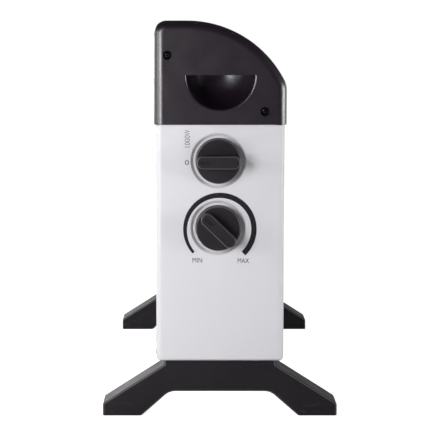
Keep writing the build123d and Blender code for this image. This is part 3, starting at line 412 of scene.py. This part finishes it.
# %% Hand out the finishes
FINISH_OF = {
    "black_moulding": cap_black,
    "knob_moulding": knob_black,
    "white_steel": casing_enamel,
    "black_steel": outlet_paint,
    "zinc_steel": zinc,
    "black_screw": screw_black,
    "bare_aluminium": aluminium,
    "sheath_steel": heated_steel,
    "brass_contact": brass,
    **dull,
}
OWN_FINISH = {"control_foot": foot_black, "plain_foot": foot_black, "cord_gland": gland_white}

for part in frame["record"]["subparts"]:
    name = part["node"]
    for slot in frame["nodes"][name].material_slots:
        slot.material = OWN_FINISH.get(name, FINISH_OF[part["material_slot"]])


# %% [markdown]
# ## The ink of the dials
# The marks by the knobs are pad printed in a near-black ink. Such ink is thin, so it picks up the peel
# of the enamel below it. The marks could be a picture on the panel, but real thin shapes stay sharp
# from close by, so they are made as sheets of ink a few hundredths of a millimetre thick.

# %% Printing ink
INK_SUNK = 0.00002
INK_PROUD = 0.00004


def printing_ink():
    finish = Finish("dial_ink", specular=0.2)
    tones = [(0.35, (0.012, 0.009, 0.013)), (0.75, (0.022, 0.018, 0.023))]
    finish.colour(finish.ramp(finish.noise(500.0, detail=5.0), tones))
    finish.roughness(finish.level(finish.noise(90.0), 0.3, 0.7, 0.5, 0.62))
    finish.bumps((finish.noise(900.0, detail=1.0), 0.1, 0.00015))
    return finish.material


ink = printing_ink()
print("ink:", ink.name, "stands proud by", INK_PROUD)


# %% [markdown]
# ## Setting a mark on the panel
# A mark is drawn flat in the XY plane, as type is set, and then turned to face the front of the panel.
# Turning the object would work for the picture, but the finishes read Object coordinates, so the turn
# and the place go into the mesh and the object itself stays at the origin.

# %% Put a flat mark on the panel
def set_mark(name, mesh, middle_y, middle_z, turn=0.0):
    """Stands a flat mesh on the panel, facing -X and turned by turn degrees, riding with the casing."""
    # The right of the type goes to -Y, its top to +Z and its face to -X.
    facing = Matrix(((0, 0, -1, 0), (-1, 0, 0, 0), (0, 1, 0, 0), (0, 0, 0, 1)))
    place = Matrix.Translation((panel_x, middle_y, middle_z))
    mesh.transform(place @ facing @ Matrix.Rotation(math.radians(turn), 4, "Z"))
    mesh.materials.clear()
    mesh.materials.append(ink)
    mark = bpy.data.objects.new(name, mesh)
    bpy.context.scene.collection.objects.link(mark)
    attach(mark, "casing")
    return mark


print("marks stand on the panel at x =", round(panel_x, 6))


# %% [markdown]
# ## Words on the dials
# Next to the power knob stand 0 and 1000W, and under the thermostat stand MIN and MAX. Blender's own
# font is wider than the narrow type of the print, so each word is made a mesh first and then scaled
# to its real width and height. A small negative offset on the curve makes the strokes thinner. The W
# of that font is as wide as two figures, so 1000 and W are set apart, each with its own squeeze.

# %% Print the words
WORDS = (
    # name, word, middle in Y, middle in Z, width, height, weight of the strokes, turn in degrees
    ("power_off_mark", "0", 0.0293, 0.2281, 0.0036, 0.0043, -0.004, 0.0),
    ("power_on_mark", "1000", 0.0290, 0.2468, 0.0104, 0.0046, -0.013, 90.0),
    ("power_unit_mark", "W", 0.0290, 0.2546, 0.0044, 0.0046, -0.012, 90.0),
    ("thermostat_low_mark", "MIN", 0.0202, 0.1412, 0.0085, 0.0042, -0.002, 0.0),
    ("thermostat_high_mark", "MAX", -0.0206, 0.1408, 0.0100, 0.0042, -0.002, 0.0),
)


def type_mesh(name, word, weight):
    """The mesh of a word in the built-in font, one unit thick on each side."""
    curve = bpy.data.curves.new(name, "FONT")
    curve.body = word
    curve.offset = weight
    curve.extrude = 1.0
    letters = bpy.data.objects.new(name + "_type", curve)
    mesh = bpy.data.meshes.new_from_object(letters)
    mesh.name = name
    bpy.data.objects.remove(letters)
    return mesh


def print_word(name, word, middle_y, middle_z, width, height, weight, turn):
    mesh = type_mesh(name, word, weight)
    low = Vector(min(v.co[axis] for v in mesh.vertices) for axis in range(3))
    high = Vector(max(v.co[axis] for v in mesh.vertices) for axis in range(3))
    mesh.transform(Matrix.Translation(-(low + high) / 2))
    thick = INK_SUNK + INK_PROUD
    mesh.transform(Matrix.Diagonal((width / (high.x - low.x), height / (high.y - low.y), thick / 2, 1)))
    mesh.transform(Matrix.Translation((0, 0, INK_PROUD - thick / 2)))
    return set_mark(name, mesh, middle_y, middle_z, turn)


words = [print_word(*row) for row in WORDS]
print("words:", [(word.name, len(word.data.polygons)) for word in words])


# %% [markdown]
# ## The swelling arc round the thermostat
# A dark arc runs from MIN over the top to MAX and grows wider towards MAX, to show more warmth. An arc
# could be a bevelled curve, but then its width would be the same all the way. Here one short edge is
# spun round the dial, the inner end of each step is drawn in by the width at that angle, and the
# flat strip is given the thickness of the ink.

# %% Print the arc
ARC_MIDDLE = (0.00025, 0.1689)
ARC_OUTER = 0.0325
ARC_STEPS = 110
# Angle in degrees, counted from the right as the panel is seen from the front, and width there.
ARC_WIDTHS = ((222.0, 0.0025), (180.0, 0.0034), (90.0, 0.0047), (-46.0, 0.0048))


def arc_width(angle):
    for (start, wide), (end, wider) in zip(ARC_WIDTHS, ARC_WIDTHS[1:]):
        if angle >= end:
            return wide + (wider - wide) * (start - angle) / (start - end)
    return ARC_WIDTHS[-1][1]


def spun_strip(first, last):
    """A flat strip from the angle first to the angle last, whose inner edge runs at half the radius."""
    start = math.radians(first)
    sweep = math.radians(last - first)
    strip = bmesh.new()
    outer = strip.verts.new((ARC_OUTER * math.cos(start), ARC_OUTER * math.sin(start), 0))
    inner = strip.verts.new((0.5 * outer.co.x, 0.5 * outer.co.y, 0))
    edge = strip.edges.new((outer, inner))
    bmesh.ops.spin(
        strip, geom=[outer, inner, edge], cent=(0, 0, 0), axis=(0, 0, 1), angle=sweep, steps=ARC_STEPS
    )
    return strip


def swelling_arc():
    first, last = ARC_WIDTHS[0][0], ARC_WIDTHS[-1][0]
    strip = spun_strip(first, last)
    for vert in strip.verts:
        if vert.co.length < 0.75 * ARC_OUTER:
            angle = math.degrees(math.atan2(vert.co.y, vert.co.x))
            angle += 360 if angle < last - 1 else 0
            vert.co *= (ARC_OUTER - arc_width(angle)) / vert.co.length
    bmesh.ops.translate(strip, verts=strip.verts, vec=(0, 0, -INK_SUNK))
    raised = bmesh.ops.extrude_face_region(strip, geom=list(strip.faces))
    top = [v for v in raised["geom"] if isinstance(v, bmesh.types.BMVert)]
    bmesh.ops.translate(strip, verts=top, vec=(0, 0, INK_SUNK + INK_PROUD))
    bmesh.ops.recalc_face_normals(strip, faces=strip.faces)
    mesh = bpy.data.meshes.new("thermostat_arc")
    strip.to_mesh(mesh)
    strip.free()
    return set_mark("thermostat_arc", mesh, *ARC_MIDDLE)


arc = swelling_arc()
print("arc faces:", len(arc.data.polygons))


# %% [markdown]
# ## The camera
# The photograph looks along the heater from its control end, at the height of its top, and its
# upright edges stay upright. A level camera with a large shift would give exactly that, but a shift
# that large would push the heater out of every other view. A pitch of six degrees with a small shift
# comes within two pixels of the photograph and keeps the other views whole.

# %% Camera
CAMERA_PLACE = (-1.4418, 0.0236, 0.3515)
PITCH = 6.0
HEADING = -89.997

camera_data = bpy.data.cameras.new("camera")
camera_data.lens = 117.1
camera_data.shift_x = 0.0604
camera_data.shift_y = -0.1092
camera = bpy.data.objects.new("camera", camera_data)
camera.location = CAMERA_PLACE
camera.rotation_euler = (math.radians(90.0 - PITCH), 0.0, math.radians(HEADING))
bpy.context.scene.collection.objects.link(camera)
bpy.context.scene.camera = camera
bpy.context.scene.view_settings.view_transform = "Standard"
print("camera at", tuple(camera.location))


# %% [markdown]
# ## Which rays see the white studio
# The heater stands in a white studio: the paper behind it and under it is pure white in the picture.
# Lighting real paper that brightly would wash out the heater. The Light Path node tells the
# camera's own rays and rays through glass from the diffuse rays that carry light, so only the rays
# that look at the paper see it white. Mirror rays see it too, but only where paper hangs: the
# studio is dim overhead and in front of the controls, which is why the black caps look so black.

# %% Rays that look at the studio
STUDIO_DIM = 0.1
WORLD_FILL = 0.05


def looking_rays(wiring, mirrored):
    """1 for camera and transmission rays, the value mirrored for glossy rays, and 0 for the rest."""
    rays = wiring.node("ShaderNodeLightPath").outputs
    seen = wiring.join("MAXIMUM", rays["Is Camera Ray"], rays["Is Transmission Ray"])
    return wiring.join("MAXIMUM", seen, wiring.join("MULTIPLY", rays["Is Glossy Ray"], mirrored))


def studio_walls(wiring):
    """White behind the heater up to a low height, dim overhead and in front of the controls."""
    direction = wiring.node("ShaderNodeTexCoord").outputs["Generated"]
    behind = wiring.level(wiring.axis(direction, "X"), -0.7, 0.3, STUDIO_DIM, 1.0, smooth=True)
    low = wiring.level(wiring.axis(direction, "Z"), 0.08, 0.4, 1.0, STUDIO_DIM, smooth=True)
    return wiring.join("MULTIPLY", behind, low)


world = bpy.data.worlds.new("white_studio")
world.use_nodes = True
bpy.context.scene.world = world
sky = Wiring(world.node_tree)
background = sky.tree.nodes["Background"]
background.inputs["Color"].default_value = (1.0, 1.0, 1.0, 1.0)
seen_sky = looking_rays(sky, studio_walls(sky))
sky.link(sky.level(seen_sky, 0.0, 1.0, WORLD_FILL, 1.0, smooth=True), background.inputs["Strength"])
print("studio:", world.name)


# %% [markdown]
# ## The paper floor
# The floor is the same white paper, and it must still show where the heater shades it. A plain white
# diffuse shader would go grey away from the lamps. Adding a glow of nearly 1 that only looking rays
# see lifts the paper to white, while its diffuse part still darkens under the feet. The glow grows
# to 1 with the distance, where no lamp adds to it. Mirror rays see it only beyond the heater.

# %% Floor
PAPER_WHITE = (0.88, 0.88, 0.88, 1.0)
PAPER_GLOW = 0.9
FLOOR_HALF = 20.0
FLOOR_GAP = 0.0004


def paper():
    material = bpy.data.materials.new("white_paper")
    material.use_nodes = True
    wiring = Patterns(material.node_tree)
    matt = wiring.tree.nodes["Principled BSDF"]
    matt.inputs["Base Color"].default_value = PAPER_WHITE
    matt.inputs["Roughness"].default_value = 0.9
    matt.inputs["Specular IOR Level"].default_value = 0.0
    away = wiring.axis(wiring.place, "X")
    seen = looking_rays(wiring, wiring.level(away, 0.2, 0.6, 0.0, 1.0, smooth=True))
    horizon = wiring.level(away, 0.8, 2.4, PAPER_GLOW, 1.0, smooth=True)
    glow = wiring.node("ShaderNodeEmission")
    wiring.link(wiring.join("MULTIPLY", seen, horizon), glow.inputs["Strength"])
    both = wiring.node("ShaderNodeAddShader")
    wiring.link(matt.outputs["BSDF"], both.inputs[0])
    wiring.link(glow.outputs["Emission"], both.inputs[1])
    wiring.link(both.outputs["Shader"], wiring.tree.nodes["Material Output"].inputs["Surface"])
    return material


sheet = bmesh.new()
bmesh.ops.create_grid(sheet, x_segments=1, y_segments=1, size=FLOOR_HALF)
bmesh.ops.translate(sheet, verts=sheet.verts, vec=(0, 0, -FLOOR_GAP))
floor_mesh = bpy.data.meshes.new("paper_floor")
sheet.to_mesh(floor_mesh)
sheet.free()
floor_mesh.materials.append(paper())
floor = bpy.data.objects.new("paper_floor", floor_mesh)
bpy.context.scene.collection.objects.link(floor)
print("floor across:", floor.dimensions.x)


# %% [markdown]
# ## Lamps
# The bright bands on the long rounded edges of the caps give the lamps away: an edge shines where it
# mirrors a lamp, so the turn of the surface there tells the direction. A small key stands 36 degrees
# round to the left of the controls and makes the compact shadows of the knobs. Two softboxes further
# round widen the band on the left edge and light the rear. A broad one far out on the right fills the
# panel and the front, and one behind the far end keeps the far foot readable. Nothing stands
# overhead, so the crown of the caps stays dark, as it is in the photograph.

# %% Softboxes
LAMPS = (
    # name, place, point it faces, width, height, power in watts
    ("key_softbox", (-0.76, 0.41, 0.31), (-0.19, 0.0, 0.22), 0.24, 0.34, 3.4),
    ("left_softbox", (-0.6, 0.9, 0.33), (-0.19, 0.0, 0.25), 0.28, 0.5, 2.6),
    ("rear_softbox", (-0.1, 1.1, 0.3), (-0.19, 0.0, 0.25), 0.3, 0.6, 0.8),
    ("front_softbox", (-0.58, -2.0, 0.3), (-0.19, 0.0, 0.2), 1.3, 0.6, 24.8),
    ("far_softbox", (1.3, 0.9, 0.5), (0.15, 0.0, 0.15), 0.6, 0.6, 10.0),
)


def softbox(name, place, aim, width, height, power):
    data = bpy.data.lights.new(name, "AREA")
    data.shape = "RECTANGLE"
    data.size = width
    data.size_y = height
    data.energy = power
    lamp = bpy.data.objects.new(name, data)
    lamp.location = place
    lamp.rotation_euler = (Vector(aim) - Vector(place)).to_track_quat("-Z", "Y").to_euler()
    lamp.visible_camera = False
    bpy.context.scene.collection.objects.link(lamp)
    return lamp


lamps = [softbox(*row) for row in LAMPS]
print("lamps:", [(lamp.name, round(lamp.data.energy, 2)) for lamp in lamps])


# %% [markdown]
# ## Sizes and the end
# The finished heater has to stay as large as its solids.
